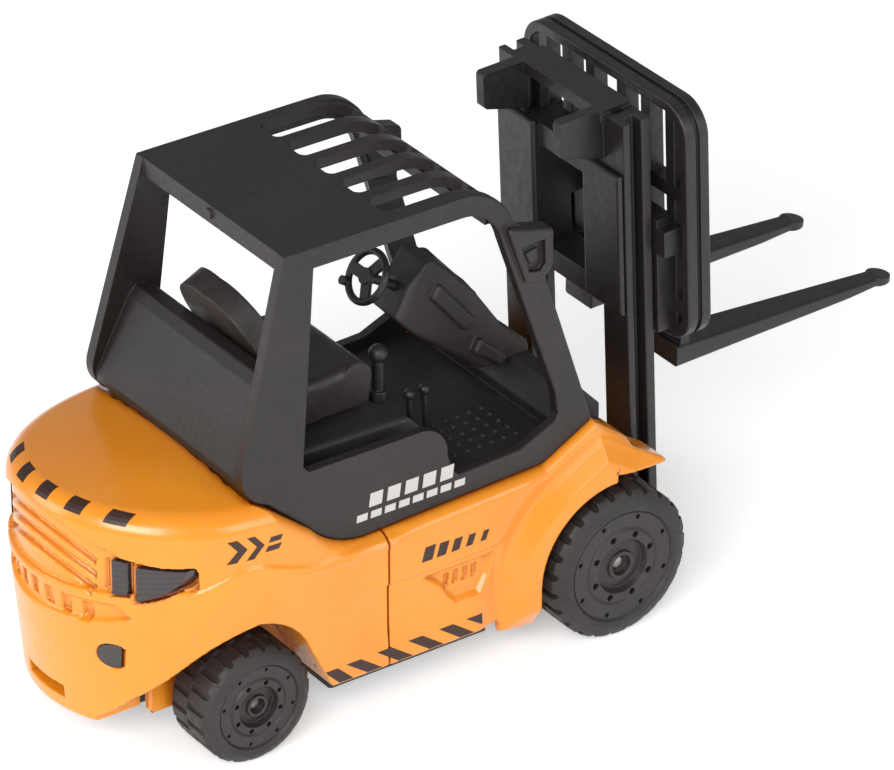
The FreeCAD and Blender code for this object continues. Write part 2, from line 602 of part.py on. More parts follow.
def mast_frame():
    """Both uprights, the top plate with its two ears, the foot tie and the pivot lugs."""
    rear = MAST_REAR_X
    front = MAST_REAR_X + MAST_DEPTH
    top = box((rear - 0.6, front), (-14.6, 14.6), (MAST_TOP_Z - 2.6, MAST_TOP_Z))
    ear = prism("xz", (rear + 1.0, MAST_TOP_Z), [
        (2.9, MAST_TOP_Z), (2.4, MAST_TOP_Z - 0.6), (2.4, MAST_TOP_Z - 7.4), (3.0, MAST_TOP_Z - 8.0),
        (rear, MAST_TOP_Z - 11.0), (rear + 1.0, MAST_TOP_Z - 11.0)], 11.8, 14.3)
    foot = box((rear, front), (-UPRIGHT_IN - 1, UPRIGHT_IN + 1), (MAST_FOOT_Z, MAST_FOOT_Z + 5.0))
    lug = prism("xz", (rear + 0.4, PIVOT_Z + 3.4), [
        (PIVOT_X, PIVOT_Z + 3.0), ((PIVOT_X - 3.0, PIVOT_Z), (PIVOT_X, PIVOT_Z - 3.0)),
        (rear + 0.4, PIVOT_Z - 3.4)], 11.0, 14.4)
    shape = both_sides(upright()).fuse([top, both_sides(rounded(ear, 0.5, runs_along((0, 1, 0), 2))), foot,
                                        both_sides(lug)])
    shape = shape.cut(rod((PIVOT_X, 0, PIVOT_Z), (0, 1, 0), PIVOT_R + RUN_CLEARANCE, -20, 20))
    save("mast_frame", lean(shape))
    pin = rod((PIVOT_X, 0, PIVOT_Z), (0, 1, 0), PIVOT_R, -14.6, 14.6)
    save("mast_pin", pin)


def carriage():
    """Slider between the uprights: tongues in the channels, keepers behind, plate and brackets in front."""
    rear = MAST_REAR_X
    front = MAST_REAR_X + MAST_DEPTH
    gap = 0.35
    z = (61.0, 93.5)
    block = box((rear + 0.4, front + 1.2), (-UPRIGHT_IN + gap, UPRIGHT_IN - gap), z)
    window = box((0, 40), (-8.2, 8.2), (66.0, 88.5))
    tongue = both_sides(box((rear + 1.7 + gap, front - 2.2 - gap), (UPRIGHT_IN - 1,
        UPRIGHT_IN + 3.0 - gap), z))
    keeper = both_sides(box((rear - 1.3, rear - gap), (UPRIGHT_IN - 4.6, UPRIGHT_OUT - 0.4), (62.4, 94.0)))
    web = both_sides(box((rear - 1.3, rear + 0.6), (8.2, UPRIGHT_IN - gap), (62.4, 93.0)))
    reach = (front + gap, FRAME_X[0] + 0.6)
    plate = both_sides(box(reach, (8.2, 24.6), (74.6, 80.4)))
    low = both_sides(box(reach, (8.2, 22.0), (59.4, 65.0)))
    strap = both_sides(box(reach, (15.0, 22.0), (56.4, 82.0)))
    shape = block.cut(window).fuse([tongue, keeper, web, plate, low, strap])
    shape = rounded(shape, 0.8,
        lambda e: e.Length > 2.5 and e.BoundBox.XLength < 0.1 and e.BoundBox.XMax < rear - 1.2)
    save("carriage", lean(shape))


def backrest():
    """Load backrest: a rounded rim with a groove round its edge, crossed by bars."""
    x0, x1 = FRAME_X
    z0, z1 = FRAME_Z
    corner = 7.0

    def slab(inset, low, high, radius):
        shape = box((low, high), (-FRAME_HALF + inset, FRAME_HALF - inset), (z0 + inset, z1 - inset))
        return rounded(shape, radius, runs_along((1, 0, 0), 0.5))

    rim = slab(0, x0, x1, corner).cut(slab(2.4, x0 - 1, x1 + 1, corner - 2.4))
    groove = slab(-1, x0 + 2.3, x0 + 3.4, corner + 1).cut(slab(0.8, x0 + 2.3, x0 + 3.4, corner - 0.8))
    rim = rounded(rim, 0.5, lambda e: e.BoundBox.XLength < 0.1 and e.Length > 5).cut(groove)
    bars = []
    middle = (x0 + 0.6, x1 - 1.8)
    for y in (5.2, 13.2, 21.2):
        bars.append(both_sides(box(middle, (y - 1.4, y + 1.4), (z0 + 1, z1 - 1))))
    for z in (61.4, 76.0, 87.2):
        bars.append(box(middle, (-FRAME_HALF + 1, FRAME_HALF - 1), (z - 1.6, z + 1.6)))
    save("backrest", lean(rim.fuse(bars)))


def fork(side):
    """Tapered fork tine with a short shank under the backrest's lower rail."""
    root_x = 24.7
    half = 4.6
    top = prism("xz", (root_x, FORK_Z), [
        (root_x, FORK_Z + 4.6), (38.0, FORK_Z + 3.9), (FORK_TIP_X - 3, FORK_Z + 2.2), (FORK_TIP_X,
        FORK_Z + 1.7),
        (FORK_TIP_X - 1.0, FORK_Z + 0.6), (FORK_TIP_X - 12, FORK_Z)], -half - 1, half + 1)
    outline = prism("xy", (root_x, -half), [
        (root_x, half), (40.0, half - 0.7), (FORK_TIP_X - 4, 2.2), ((FORK_TIP_X, 0), (FORK_TIP_X - 4,
        -2.2)),
        (40.0, -half + 0.7)], 30, 70)
    blade = rounded(top.common(outline), 0.6, lambda e: e.Length > 12)
    shank = box((26.0, 28.2), (-half + 0.6, half - 0.6), (FORK_Z + 2, FRAME_Z[0] + 4))
    limit = lean(box((0, 60), (-10, 10), (FRAME_Z[0], 90)))
    shape = blade.fuse(shank).cut(limit)
    name = "fork_left" if side > 0 else "fork_right"
    save(name, shape.translated(V(0, side * FORK_Y, 0)))


body_shells()
base_plate()
base_screws()
body_lamps()
wheel("front", 0.0, FRONT_AXLE_Z, FRONT_FACE_Y, FRONT_WIDTH, FRONT_DISC, 24, 0.34)
wheel("rear", -WHEELBASE, REAR_AXLE_Z, REAR_FACE_Y, REAR_WIDTH, REAR_DISC, 20, 0.24)
axle("front_axle", 0.0, FRONT_AXLE_Z, FRONT_FACE_Y)
axle("rear_axle", -WHEELBASE, REAR_AXLE_Z, REAR_FACE_Y)
cab_frame()
interior_tub()
seat()
steering_column()
steering_wheel()
levers()
mast_frame()
carriage()
backrest()
fork(1)
fork(-1)
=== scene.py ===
import math

import bmesh
import bpy
import numpy as np
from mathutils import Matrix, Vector


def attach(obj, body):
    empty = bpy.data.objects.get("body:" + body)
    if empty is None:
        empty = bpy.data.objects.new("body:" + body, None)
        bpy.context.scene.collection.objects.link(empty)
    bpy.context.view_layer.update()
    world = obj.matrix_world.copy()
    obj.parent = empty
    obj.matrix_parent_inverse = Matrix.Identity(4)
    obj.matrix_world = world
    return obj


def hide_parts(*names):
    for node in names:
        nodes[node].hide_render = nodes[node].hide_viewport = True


# Looks of the toy forklift. The frame is in metres, X forward, Y to the left, Z up.
# Body shapes are worked out in millimetres from the front axle (x = 0) and a datum plane
# (z = 0), and frame_point() carries them into the frame.

MM = 0.001
SHIFT_X = 17.3            # from the front axle to the frame's origin
SHIFT_Z = 1.6             # from the datum plane to the ground

# Camera, lights and floor
VIEW_TARGET = Vector((-0.01435, -0.01881, 0.06116))
VIEW_BACK = Vector((-0.4965, -0.7086, 0.5014))
VIEW_DISTANCE = 1.2144
LENS = 249.72
SENSOR = 36.0
LIGHT_AIM = (-0.02, 0.0, 0.05)
KEY_WATTS = 18.0
FILL_WATTS = 5.0          # each of the side and rear lights
SKY_STRENGTH = 0.34
FLOOR_HALF = 6.0
FLOOR_GLOW = 0.32         # keeps the pale floor even, like a lit card

# Body, in millimetres from here on
STEP = 0.5                # size of the cells that the body surfaces are drawn from
REAR_CENTRE_X = -79.0     # centre of the elliptical rear end
REAR_LENGTH = 38.0
BODY_HALF = 31.6
TUCK = 3.6                # how far the rear end is drawn in at the datum plane
LEDGE_Z = 36.0
HOOD_Z = 57.2
HOOD_DROP = 3.8           # fall of the hood from the centre to CROWN_HALF
CROWN_HALF = 33.6
SHOULDER = 4.6            # edge radius of the hood
SEAM_X = -54.2
LINE_Z = 37.9             # character line on the side: its level and the swell over the rear wheel
LINE_RISE = 4.2
LINE_CREST_X = -85.5
LINE_SPREAD = 8.5
ARCH_RADIUS = 20.2        # front wheel well
ARCH_INNER_Y = 20.6
ARCH_LIP = 1.7            # how far the mudguard's lip reaches in over the tyre
VALLEY = 1.3              # how far the side dips beside the front mudguard
FLARE_OUT_Y = 33.4        # outer face of the front mudguard
FLARE_INNER_Y = 22.4
BELT_TOP_Z = 28.3
BELT_DEPTH = 0.5
SEAM_HALF = 0.12
WALL = 2.0
ROOF_WALL = 2.6           # thickness under the hood and the cab's room
SKIRT_Z = 9.3
BUMPER_Z = 7.6
FRONT_AXLE_Z = 14.8
BUMPER_LAMP_Y = 17.5
BUMPER_LAMP_Z = 24.5
BUMPER_LAMP_R = 2.75
BUMPER_LAMP_DEEP_X = -107.6   # bottom of the lamp's hole
SLOT_HALF_Y = 6.2         # slot in the rear bumper
SLOT_HALF_Z = 1.4
SLOT_Z = 12.0
SLOT_DEEP_X = -108.0
NET_HALF_Y = 35.25        # box that the body surfaces are drawn in
NET_LOW_Z = 5.0
NET_HIGH_Z = 59.0

# Cab side panel, which leans inwards from the sill to the roof
CAB_HALF = 28.9
ROOF_HALF = 25.8
SILL_Z = 39.1
ROOF_Z = 104.5

# Printed marks
INK_ABOVE = 0.05          # how far the ink stands proud, and how deep its underside sits
INK_BELOW = 0.12
RIM_MARK_TILT = 42.0      # degrees from upright
RIM_MARK_INSET = 4.4
RIM_MARK_DROP = 2.4
RIM_MARK_START = 9.0      # how far outside the hood the rays start
SIDE_MARK_START_Y = 37.0
MARCH_STEPS = 60
MARCH_SHARE = 0.9         # part of the distance that each step takes
SKIRT_MARK_LOW_Z = 9.8
SKIRT_MARK_HIGH_Z = 13.4

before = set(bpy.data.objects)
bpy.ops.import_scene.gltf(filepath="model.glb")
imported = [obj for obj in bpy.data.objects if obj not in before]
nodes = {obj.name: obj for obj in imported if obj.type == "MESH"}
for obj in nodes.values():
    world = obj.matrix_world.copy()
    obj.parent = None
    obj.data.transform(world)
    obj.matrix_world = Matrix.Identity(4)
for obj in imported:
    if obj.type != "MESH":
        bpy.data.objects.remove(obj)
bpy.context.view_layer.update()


# ---------------------------------------------------------------- materials
def srgb(red, green, blue):
    """A colour given in the usual 0-255 scale, as linear values."""
    def linear(value):
        value /= 255.0
        return value / 12.92 if value <= 0.04045 else ((value + 0.055) / 1.055) ** 2.4
    return (linear(red), linear(green), linear(blue), 1.0)


class Nodes:
    """Short way to add and join the nodes of one material."""

    def __init__(self, name):
        self.material = bpy.data.materials.new(name)
        self.material.use_nodes = True
        self.tree = self.material.node_tree
        self.shader = self.tree.nodes["Principled BSDF"]
        self.place = self.add("ShaderNodeTexCoord").outputs["Object"]

    def add(self, kind, **values):
        node = self.tree.nodes.new(kind)
        for key, value in values.items():
            setattr(node, key, value)
        return node

    def join(self, output, socket):
        self.tree.links.new(output, socket)

    def noise(self, per_metre, detail=3.0, rough=0.55, stretch=None):
        """Noise in object space, with its cell size given per metre."""
        node = self.add("ShaderNodeTexNoise")
        node.inputs["Scale"].default_value = per_metre
        node.inputs["Detail"].default_value = detail
        node.inputs["Roughness"].default_value = rough
        place = self.place
        if stretch:
            mapping = self.add("ShaderNodeMapping")
            mapping.inputs["Scale"].default_value = stretch
            self.join(place, mapping.inputs["Vector"])
            place = mapping.outputs["Vector"]
        self.join(place, node.inputs["Vector"])
        return node.outputs["Fac"]

    def ranged(self, value, low, high, start=0.3, end=0.7):
        """A value between start and end carried to low..high."""
        node = self.add("ShaderNodeMapRange", interpolation_type="SMOOTHSTEP")
        node.inputs["From Min"].default_value = start
        node.inputs["From Max"].default_value = end
        node.inputs["To Min"].default_value = low
        node.inputs["To Max"].default_value = high
        self.join(value, node.inputs["Value"])
        return node.outputs["Result"]

    def blend(self, share, first, second):
        """Mix of two colours; each is a colour value or a socket."""
        node = self.add("ShaderNodeMix", data_type="RGBA")
        self.join(share, node.inputs["Factor"])
        for value, socket in ((first, node.inputs[6]), (second, node.inputs[7])):
            if isinstance(value, tuple):
                socket.default_value = value
            else:
                self.join(value, socket)
        return node.outputs[2]

    def edges(self, radius, low=0.02, high=0.30):
        """Near 1 along sharp edges and 0 on flat ground."""
        bevel = self.add("ShaderNodeBevel", samples=4)
        bevel.inputs["Radius"].default_value = radius
        flat = self.add("ShaderNodeNewGeometry")
        dot = self.add("ShaderNodeVectorMath", operation="DOT_PRODUCT")
        self.join(bevel.outputs["Normal"], dot.inputs[0])
        self.join(flat.outputs["Normal"], dot.inputs[1])
        return self.ranged(dot.outputs["Value"], 1.0, 0.0, 1.0 - high, 1.0 - low)

    def painted_crease_shade(self, reach):
        """Mask for painted shade, from ambient occlusion: near 1 in grooves and under ledges, and 0 in the open."""
        hollow = self.add("ShaderNodeAmbientOcclusion", samples=4)
        hollow.inputs["Distance"].default_value = reach
        return self.ranged(hollow.outputs["AO"], 1.0, 0.0, 0.35, 0.85)

    def bump(self, height, depth, strength=1.0, under=None):
        node = self.add("ShaderNodeBump")
        node.inputs["Distance"].default_value = depth
        node.inputs["Strength"].default_value = strength
        self.join(height, node.inputs["Height"])
        if under is not None:
            self.join(under, node.inputs["Normal"])
        return node.outputs["Normal"]

    def soften(self, radius):
        """Normals that turn round sharp edges as on a moulded part."""
        bevel = self.add("ShaderNodeBevel", samples=4)
        bevel.inputs["Radius"].default_value = radius
        return bevel.outputs["Normal"]

    def finish(self, colour, rough, normal, **constants):
        self.join(colour, self.shader.inputs["Base Color"])
        self.join(rough, self.shader.inputs["Roughness"])
        self.join(normal, self.shader.inputs["Normal"])
        for key, value in constants.items():
            self.shader.inputs[key.replace("_", " ")].default_value = value
        return self.material


def paint():
    """Orange enamel on die-cast metal: glossy, a little uneven, with painted shade on the edges and in the creases.
    """
    n = Nodes("body_enamel")
    cloud = n.ranged(n.noise(28.0, 4.0), 0.0, 1.0)
    tone = n.blend(cloud, srgb(221, 132, 24), srgb(227, 140, 30))
    speck = n.ranged(n.noise(900.0, 2.0), 0.0, 0.25, 0.66, 0.80)
    tone = n.blend(speck, tone, srgb(200, 112, 22))
    # Painted shade: the edges turn darker orange-brown.
    tone = n.blend(n.edges(0.0006, 0.03, 0.4), tone, srgb(196, 98, 18))
    # Painted shade: darker orange-brown in grooves and under ledges.
    tone = n.blend(n.painted_crease_shade(0.0025), tone, srgb(150, 62, 8))
    rough = n.ranged(n.noise(140.0, 3.0), 0.24, 0.36)
    peel = n.bump(n.noise(520.0, 2.0), 0.00003, 0.6)
    normal = n.bump(n.noise(70.0, 2.0), 0.00012, 0.5, peel)
    return n.finish(tone, rough, normal, Coat_Weight=0.35, Coat_Roughness=0.12)


def black_plastic(name, dark, light, rough, grain=1800.0, edge=0.0004, depth=0.00003):
    """Moulded black plastic with a fine grain and softened edges that carry a painted highlight."""
    n = Nodes(name)
    tone = n.blend(n.ranged(n.noise(45.0, 4.0), 0.0, 1.0), dark, light)
    # Painted highlight: the edges are lightened well above the plastic's light tone.
    edge_highlight = tuple(min(1.0, 1.7 * c + 0.004) for c in light[:3]) + (1.0,)
    tone = n.blend(n.edges(edge), tone, edge_highlight)
    speck = n.ranged(n.noise(grain * 0.5, 2.0), rough - 0.06, rough + 0.08)
    normal = n.bump(n.noise(grain, 3.0, 0.7), depth, 0.8, n.soften(edge))
    return n.finish(tone, speck, normal)


def rubber():
    """Black rubber with a fine grain, with a painted highlight that greys the edges."""
    n = Nodes("tyre_rubber")
    tone = n.blend(n.ranged(n.noise(60.0, 4.0), 0.0, 1.0), srgb(31, 27, 27), srgb(41, 37, 37))
    # Painted highlight: the edges turn grey.
    tone = n.blend(n.edges(0.0004), tone, srgb(66, 61, 61))
    rough = n.ranged(n.noise(800.0, 3.0), 0.50, 0.68)
    normal = n.bump(n.noise(1500.0, 4.0, 0.7), 0.00004, 0.8, n.soften(0.0004))
    return n.finish(tone, rough, normal)


def steel():
    """Brushed steel."""
    n = Nodes("steel")
    brushed = n.noise(600.0, 3.0, stretch=(1.0, 14.0, 1.0))
    tone = n.blend(n.ranged(brushed, 0.0, 1.0), srgb(120, 118, 116), srgb(170, 168, 165))
    rough = n.ranged(n.noise(300.0), 0.28, 0.45)
    return n.finish(tone, rough, n.bump(brushed, 0.00002, 0.6, n.soften(0.0002)), Metallic=1.0)


def lamp_dark():
    """Smoked lens with a faint ribbing behind its surface."""
    n = Nodes("lamp_dark")
    ribs = n.add("ShaderNodeTexWave", wave_type="BANDS", bands_direction="Z")
    ribs.inputs["Scale"].default_value = 260.0
    ribs.inputs["Distortion"].default_value = 0.6
    n.join(n.place, ribs.inputs["Vector"])
    tone = n.blend(n.ranged(ribs.outputs["Fac"], 0.0, 1.0), srgb(36, 29, 29), srgb(46, 38, 38))
    rough = n.ranged(n.noise(400.0), 0.18, 0.30)
    normal = n.bump(ribs.outputs["Fac"], 0.00003, 0.35, n.soften(0.0003))
    return n.finish(tone, rough, normal, Coat_Weight=0.5, Coat_Roughness=0.08)


def print_ink(name, colour, second):
    """Pad-printed ink: nearly flat, with small thin spots."""
    n = Nodes(name)
    thin = n.ranged(n.noise(2400.0, 3.0, 0.7), 0.0, 0.5, 0.55, 0.75)
    rough = n.ranged(n.noise(900.0), 0.38, 0.55)
    return n.finish(n.blend(thin, colour, second), rough, n.bump(n.noise(1600.0), 0.00002, 0.6))


def floor_card():
    """Pale matt card that glows a little."""
    n = Nodes("floor_card")
    tone = n.blend(n.ranged(n.noise(9.0, 5.0), 0.0, 1.0), srgb(250, 250, 250), srgb(255, 255, 255))
    rough = n.ranged(n.noise(240.0), 0.75, 0.92)
    n.shader.inputs["Emission Color"].default_value = (1.0, 1.0, 1.0, 1.0)
    return n.finish(tone, rough, n.bump(n.noise(500.0), 0.0001, 0.3), Emission_Strength=FLOOR_GLOW)


ENAMEL = paint()
PLASTIC = black_plastic("cab_plastic", srgb(26, 22, 21), srgb(33, 28, 27), 0.46)
SMOOTH_PLASTIC = black_plastic("mast_plastic", srgb(26, 22, 22), srgb(32, 28, 28), 0.40, 1200.0)
DULL_PLASTIC = black_plastic("inner_plastic", srgb(30, 28, 28), srgb(38, 35, 35), 0.55, 1500.0)
SEAT_PLASTIC = black_plastic("seat_plastic", srgb(34, 30, 29), srgb(42, 37, 36), 0.46, 1000.0, 0.0008)
HUB_PLASTIC = black_plastic("hub_plastic", srgb(34, 30, 30), srgb(43, 38, 38), 0.45, 1400.0)
RUBBER = rubber()
STEEL = steel()
LAMP = lamp_dark()
DARK_INK = print_ink("dark_ink", srgb(46, 22, 14), srgb(92, 52, 24))
WHITE_INK = print_ink("white_ink", srgb(186, 184, 182), srgb(132, 130, 128))

FINISH = {
    "cab_frame": PLASTIC, "interior_tub": DULL_PLASTIC, "base_plate": DULL_PLASTIC,
    "mast_frame": SMOOTH_PLASTIC, "carriage": SMOOTH_PLASTIC, "backrest": SMOOTH_PLASTIC,
    "fork_left": SMOOTH_PLASTIC, "fork_right": SMOOTH_PLASTIC, "seat": SEAT_PLASTIC,
    "steering_column": SEAT_PLASTIC, "steering_wheel": SMOOTH_PLASTIC, "drive_lever": SMOOTH_PLASTIC,
    "valve_levers": SMOOTH_PLASTIC, "base_screws": STEEL, "front_axle": STEEL, "rear_axle": STEEL,
    "mast_pin": STEEL, "rear_body_shell": ENAMEL, "front_body_shell": ENAMEL,
}


def finish_of(name):
    """The material that a CAD node gets."""
    if name in FINISH:
        return FINISH[name]
    if "tyre" in name:
        return RUBBER
    if "hub" in name:
        return HUB_PLASTIC
    return LAMP


for name, node in nodes.items():
    node.data.materials.clear()
    node.data.materials.append(finish_of(name))


# ---------------------------------------------------------------- body surfaces
def frame_point(points):
    """Points in body millimetres carried into the frame's metres."""
    return (np.asarray(points, float) + (SHIFT_X, 0.0, SHIFT_Z)) * MM


def polygon(a, b, outline):
    """Signed distance from (a, b) to a closed outline, negative inside."""
    nearest, sign = None, 1.0
    for i, (a1, b1) in enumerate(outline):
        a0, b0 = outline[i - 1]
        ea, eb = a0 - a1, b0 - b1
        wa, wb = a - a1, b - b1
        share = np.clip((wa * ea + wb * eb) / (ea * ea + eb * eb), 0.0, 1.0)
        gap = (wa - ea * share) ** 2 + (wb - eb * share) ** 2
        nearest = gap if nearest is None else np.minimum(nearest, gap)
        above, below, left = b >= b1, b < b0, ea * wb > eb * wa
        sign = sign * np.where((above & below & left) | ~(above | below | left), -1.0, 1.0)
    return sign * np.sqrt(nearest)


def both(first, second, radius):
    """Where two solids overlap, with the edge between them rounded."""
    corner = np.sqrt(np.maximum(radius + first, 0.0) ** 2 + np.maximum(radius + second, 0.0) ** 2)
    return np.minimum(-radius, np.maximum(first, second)) + corner


def either(first, second, radius):
    """Two solids joined, with a fillet of the radius between them."""
    corner = np.sqrt(np.maximum(radius - first, 0.0) ** 2 + np.maximum(radius - second, 0.0) ** 2)
    return np.maximum(radius, np.minimum(first, second)) - corner


def ease(value):
    """0 below 0, 1 above 1 and a smooth rise between."""
    t = np.clip(value, 0.0, 1.0)
    return t * t * (3.0 - 2.0 * t)


def arc(start, through, end, pieces=6):
    """Points along the circle from start through a middle point, without the start itself."""
    (ax, ay), (bx, by), (cx, cy) = start, through, end
    twice = 2.0 * (ax * (by - cy) + bx * (cy - ay) + cx * (ay - by))
    a2, b2, c2 = ax * ax + ay * ay, bx * bx + by * by, cx * cx + cy * cy
    ox = (a2 * (by - cy) + b2 * (cy - ay) + c2 * (ay - by)) / twice
    oy = (a2 * (cx - bx) + b2 * (ax - cx) + c2 * (bx - ax)) / twice
    first = math.atan2(ay - oy, ax - ox)
    turn = math.remainder(math.atan2(by - oy, bx - ox) - first, math.tau)
    turn += math.remainder(math.atan2(cy - oy, cx - ox) - first - turn, math.tau)
    radius = math.hypot(ax - ox, ay - oy)
    angles = [first + turn * (k + 1) / pieces for k in range(pieces)]
    return [(ox + radius * math.cos(a), oy + radius * math.sin(a)) for a in angles]


def plan_field(x, y, z):
    """Distance to the body's upright sides; the rear end is an ellipse that tucks in below the ledge."""
    length = REAR_LENGTH - TUCK * np.clip(1.0 - z / LEDGE_Z, 0.0, 1.0)
    u = np.minimum(x - REAR_CENTRE_X, -1e-3)
    near = np.sqrt((u / length) ** 2 + (y / BODY_HALF) ** 2)
    slope = np.sqrt((u / length ** 2) ** 2 + (y / BODY_HALF ** 2) ** 2)
    return near * (near - 1.0) / slope


def deck_field(x, z):
    """The room that the cab takes out of the top of the body, in side view."""
    return polygon(x, z, [
        (-84.2, 75.0), (-84.2, 55.6), (-83.4, 54.6), (-80.5, 53.0), (-71.0, 45.4),
        *arc((-71.0, 45.4), (-65.0, 40.7), (-58.2, 39.1)),
        (-16.0, 40.8), (-3.6, 47.2), (14.7, 32.6), (40.0, 32.6), (40.0, 75.0)])


def side_relief(x, z):
    """How far the sides are drawn in: two character lines, the lower belt and the vent scoop."""
    line = LINE_Z + LINE_RISE * np.exp(-((x - LINE_CREST_X) / LINE_SPREAD) ** 2)
    ends = ease((x + 100.0) / 4.0) * ease((-48.0 - x) / 5.0)
    relief = 0.55 * ends * ease((z - line) / 1.1) * ease((line + 11.0 - z) / 8.0)
    second = ease((x + 80.0) / 6.0) * ease((-49.0 - x) / 4.0)
    relief = relief - 0.22 * second * ease((z - line + 1.9) / 0.7) * ease((line - 0.3 - z) / 0.7)
    belt = ease((x + 63.0) / 7.0) * ease((-26.5 - x) / 2.0)
    relief = relief + BELT_DEPTH * belt * ease((BELT_TOP_Z - z) / 1.0) * ease((z - 8.0) / 14.0)
    valley = VALLEY * ease((6.5 - flare_outline(x, z)) / 6.5)
    return relief + scoop_relief(x, z) + valley


def scoop_relief(x, z):
    """The vent scoop and its four slots."""
    scoop = polygon(x, z, [
        (-46.2, 26.5), (-28.2, 26.4), (-29.8, 21.4), (-32.2, 17.8),
        (-38.2, 17.9), (-40.2, 20.2), (-41.8, 22.9)])
    relief = 1.4 * ease((0.3 - scoop) / 1.5)
    for slot in (-39.7, -37.4, -35.1, -33.0):
        cut = polygon(x, z, [(slot, 24.4), (slot + 1.0, 24.4), (slot + 0.5, 21.6), (slot - 0.5, 21.6)])
        relief = relief + 0.7 * ease((0.3 - cut) / 0.6)
    return relief


def rear_relief(y, z):
    """How far the rear is drawn in: band, louvres, lamp pockets and the ribbed lower recess."""
    top = np.where(y < 20.0, 54.0 - 6.8 * (y / 20.0) ** 2, 47.2 - 0.35 * (y - 20.0))
    band = np.maximum(np.maximum(z - top, 38.8 + 0.7 * (y / 27.4) ** 2 - z), y - 27.6)
    relief = 1.1 * ease((0.15 - band) / 0.5)
    panel = np.maximum(np.abs(y - 16.9) - 0.25, np.maximum(z - 46.4, 39.6 - z))
    relief = relief + 0.5 * ease((0.2 - panel) / 0.4)
    for level in (51.2, 48.0, 44.8):
        rise = level - 5.6 * (y / 15.6) ** 2
        louvre = np.maximum(np.abs(z - rise + 0.75) - 0.72, y - 14.8)
        relief = relief + 0.95 * ease((0.3 - louvre) / 0.6)
    low = polygon(y, z, [
        (-1.0, 37.5), (19.0, 36.7), (21.2, 33.4),
        *arc((21.2, 33.4), (10.0, 31.3), (-1.0, 30.8))])
    relief = relief + 1.1 * ease((0.2 - low) / 1.2)
    for rib in range(4):
        gap = np.maximum(np.abs(y - 4.4 * rib) - 1.0, np.abs(z - 34.3 + 0.06 * y) - 1.9)
        relief = relief + 0.9 * ease((0.2 - gap) / 0.5)
    lamp = polygon(y, z, [(21.6, 45.4), (21.6, 37.6), *arc((21.6, 37.6), (25.5, 39.7), (27.2, 44.4))])
    bar = np.maximum(np.abs(y - 19.35) - 1.05, np.abs(z - 42.7) - 3.9)
    relief = relief - 0.4 * ease((1.25 - lamp) / 0.4) * ease((y - 20.9) / 0.4)
    relief = np.maximum(relief, 2.2 * ease((0.55 - lamp) / 0.4))
    return np.maximum(relief, 1.5 * ease((0.45 - bar) / 0.4))


def well_field(x, y, z):
    """The four wheel wells."""
    radius = ARCH_RADIUS - ARCH_LIP * ease((y - 29.0) / 1.5)
    front = np.minimum(np.hypot(x, z - FRONT_AXLE_Z) - radius,
                       np.maximum(np.maximum(-x - radius, x - 30.2), z - FRONT_AXLE_Z))
    nose = polygon(x, z, [(0.0, 10.0), (0.0, 35.0), (19.0, 31.2), (40.0, 31.2), (40.0, 10.0)])
    front = np.maximum(np.minimum(front, nose), ARCH_INNER_Y - y)
    arch = polygon(x, z, [
        (-112.6, 0.0), (-111.6, 7.4), (-106.4, 14.8), (-98.0, 22.8),
        *arc((-98.0, 22.8), (-90.6, 27.6), (-84.0, 29.4)),
        *arc((-84.0, 29.4), (-76.6, 25.8), (-72.7, 19.7)), (-67.7, 9.3), (-67.5, 0.0)])
    inner = np.where(x < -100.5, 13.4, 17.2)
    return np.minimum(front, np.maximum(arch, inner - y))


def flare_outline(x, z):
    """Distance to the mudguard's outline in side view."""
    return polygon(x, z, [
        (-26.9, 6.6), (-26.9, 15.4), (-25.2, 23.9), *arc((-25.2, 23.9), (-19.8, 31.8), (-11.7, 38.2)),
        (-2.4, 43.6), (13.4, 33.4), (14.5, 32.2), (12.0, 20.0), (0.0, 5.8), (-22.4, 5.8)])


def flare_field(x, y, z):
    """Front mudguard: a lip on the wheel arch with a chamfer running out to the side of the body."""
    outline = flare_outline(x, z)
    chamfer = (y - BODY_HALF + VALLEY + 0.68 * outline) / 1.21
    lip = both(both(y - FLARE_OUT_Y, chamfer, 0.6), outline, 0.5)
    seam = np.abs((x - 4.1) * 0.637 - (z - 39.3) * 0.771) - 0.14
    seam = np.maximum(np.maximum(seam, 33.0 - y), np.abs(x - 2.1) - 2.6)
    return both(np.maximum(lip, FLARE_INNER_Y - y), -seam, 0.15)


